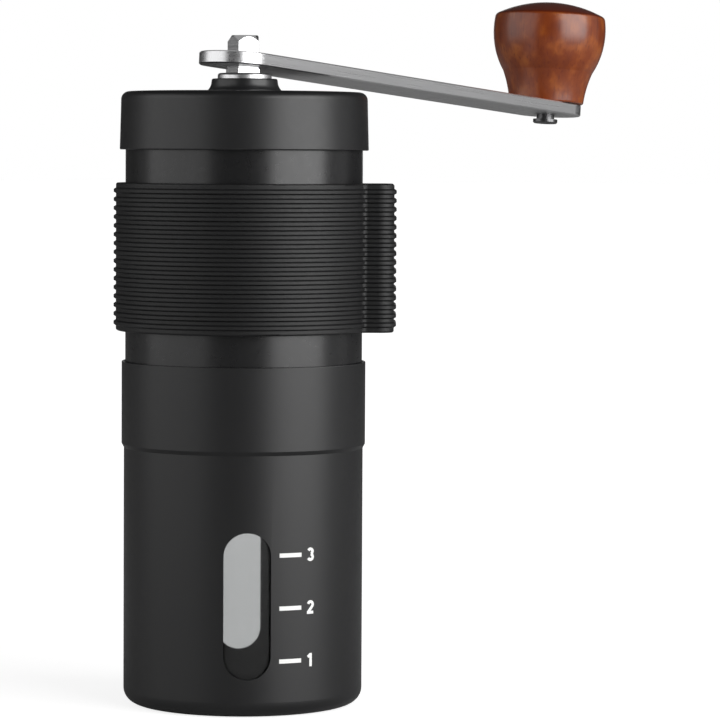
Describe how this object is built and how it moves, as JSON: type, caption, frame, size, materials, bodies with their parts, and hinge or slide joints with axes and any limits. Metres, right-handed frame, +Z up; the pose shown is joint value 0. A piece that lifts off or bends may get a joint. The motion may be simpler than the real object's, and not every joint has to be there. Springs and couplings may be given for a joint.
{
  "type": "hand crank coffee grinder",
  "caption": "Hand crank coffee grinder: black windowed cup with a clear liner, lift-off tube with ceramic cone burrs, ribbed grip band, lid and pull-off steel crank with a wooden knob.",
  "frame": {"origin": "middle of the cup's flat underside, on the shaft's axis", "axes": "+Z up along the shaft, -Y to the front with the window, +X to the side of the crank's storage loop"},
  "size_m": [0.103, 0.1274, 0.1428],
  "materials": {
    "painted_steel": "satin black powder coat",
    "clear_plastic": "clear moulded",
    "grip_rubber": "matte moulded, ribbed",
    "black_plastic": "fine satin moulded",
    "brushed_steel": "brushed along the bar",
    "polished_steel": "polished",
    "knob_wood": "turned, stained red-brown and lacquered",
    "burr_ceramic": "unglazed, fine",
    "brass": "turned",
    "bronze": "sintered",
    "spring_steel": "drawn wire"
  },
  "bodies": {
    "cup": {"cup_shell": "painted_steel", "cup_liner": "clear_plastic"},
    "mill": {"body_tube": "painted_steel", "grip_band": "grip_rubber", "burr_housing": "black_plastic", "outer_burr": "burr_ceramic", "burr_retainer": "black_plastic", "retainer_screws": "brushed_steel", "bearing_bridge": "black_plastic", "upper_bush": "bronze", "lower_bush": "bronze"},
    "lid": {"lid_cap": "painted_steel", "lid_collar": "black_plastic", "lid_eyelet": "polished_steel"},
    "shaft": {"drive_shaft": "polished_steel", "thrust_washer": "brushed_steel", "burr_spring": "spring_steel"},
    "burr": {"inner_burr": "burr_ceramic", "click_ring": "black_plastic"},
    "nut": {"adjust_nut": "black_plastic", "nut_insert": "brass"},
    "crank": {"crank_arm": "brushed_steel"},
    "knob": {"knob": "knob_wood", "knob_insert": "brass", "knob_screw": "brushed_steel"}
  },
  "joints": [
    {"name": "mill_lift", "type": "slide", "parent": "cup", "child": "mill", "axis": [0, 0, 1], "range_m": [0, 0.04]},
    {"name": "crank_turn", "type": "hinge", "parent": "mill", "child": "shaft", "pos_m": [0, 0, 0], "axis": [0, 0, 1], "continuous": true},
    {"name": "crank_lift", "type": "slide", "parent": "shaft", "child": "crank", "axis": [0, 0, 1], "range_m": [0, 0.06]},
    {"name": "lid_lift", "type": "slide", "parent": "mill", "child": "lid", "axis": [0, 0, 1], "range_m": [0, 0.03]},
    {"name": "knob_spin", "type": "hinge", "parent": "crank", "child": "knob", "pos_m": [0.06395, 0.08802, 0.11798], "axis": [0.0438, 0.0602, 0.9972], "continuous": true},
    {"name": "burr_feed", "type": "slide", "parent": "shaft", "child": "burr", "axis": [0, 0, 1], "range_m": [-0.00105, 0.00017], "deforming": ["burr_spring"]},
    {"name": "grind_turn", "type": "hinge", "parent": "burr", "child": "nut", "pos_m": [0, 0, 0.0517], "axis": [0, 0, 1], "range_deg": [-540, 90]}
  ],
  "couplings": [
    {"joint": "lid_lift", "follows": "crank_lift", "ratio": 0.5},
    {"joint": "grind_turn", "follows": "burr_feed", "rad_per_m": 8976}
  ]
}
